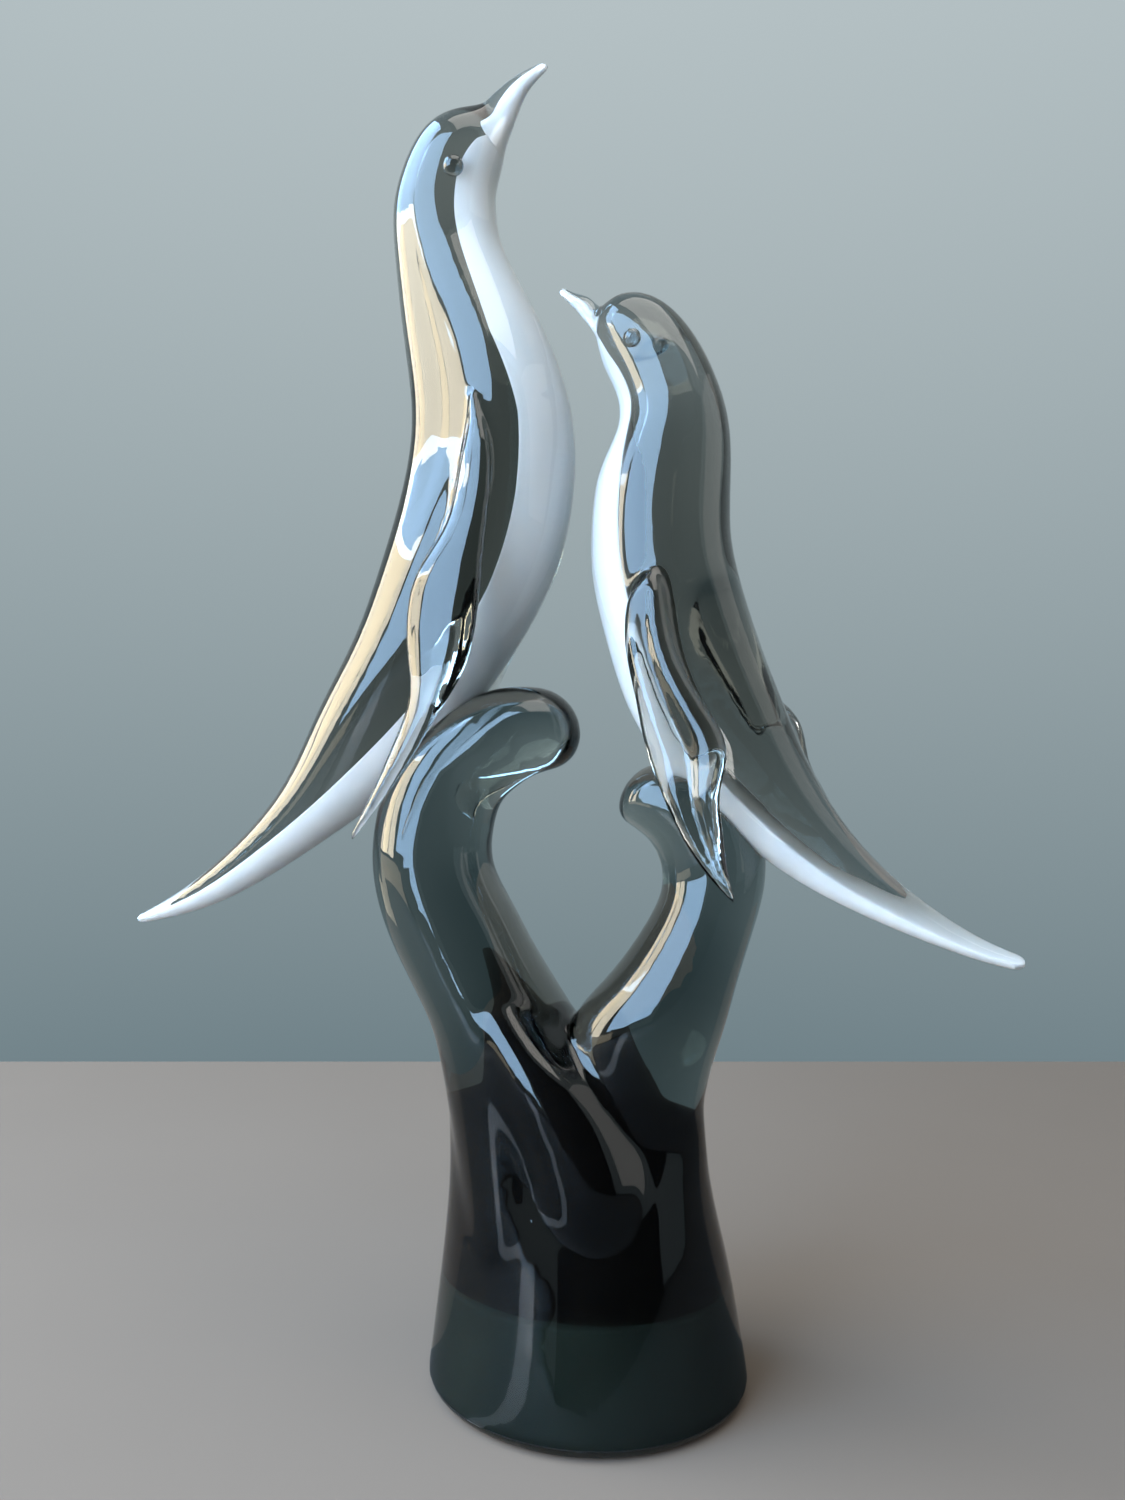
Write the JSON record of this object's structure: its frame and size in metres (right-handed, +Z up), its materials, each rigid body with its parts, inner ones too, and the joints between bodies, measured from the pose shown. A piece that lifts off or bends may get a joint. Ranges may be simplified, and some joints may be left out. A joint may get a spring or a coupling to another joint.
{
  "type": "glass bird figurine",
  "caption": "Pair of stylised long-necked birds in smoke and white glass, facing each other on a forked glass trunk with a flared oval foot.",
  "frame": {"origin": "centre of the foot's flat underside", "axes": "+Z up, from the foot to the taller bird's beak; X along the plane of the two birds, with the taller bird at -X; -Y faces the picture's viewer"},
  "size_m": [0.3496, 0.1088, 0.5015],
  "materials": {
    "foot_glass": "clear grey-green glass, fire-polished",
    "dark_glass": "black-amethyst glass inside the trunk",
    "smoke_glass": "smoke grey-green glass, fire-polished",
    "bird_smoke_glass": "pale smoke glass, fire-polished",
    "opaline_glass": "opaline white glass, glossy",
    "clear_glass": "clear glass with a trace of smoke, fire-polished"
  },
  "bodies": {
    "root": {"foot": "foot_glass", "dark_core": "dark_glass", "trunk_casing": "smoke_glass", "left_branch": "smoke_glass", "right_branch": "smoke_glass", "left_bird_back": "bird_smoke_glass", "left_bird_breast": "opaline_glass", "left_bird_beak": "opaline_glass", "left_bird_near_wing": "clear_glass", "left_bird_far_wing": "clear_glass", "left_bird_near_eye": "clear_glass", "left_bird_far_eye": "clear_glass", "right_bird_back": "bird_smoke_glass", "right_bird_breast": "opaline_glass", "right_bird_beak": "opaline_glass", "right_bird_near_wing": "clear_glass", "right_bird_far_wing": "clear_glass", "right_bird_near_eye": "clear_glass", "right_bird_far_eye": "clear_glass"}
  },
  "joints": []
}
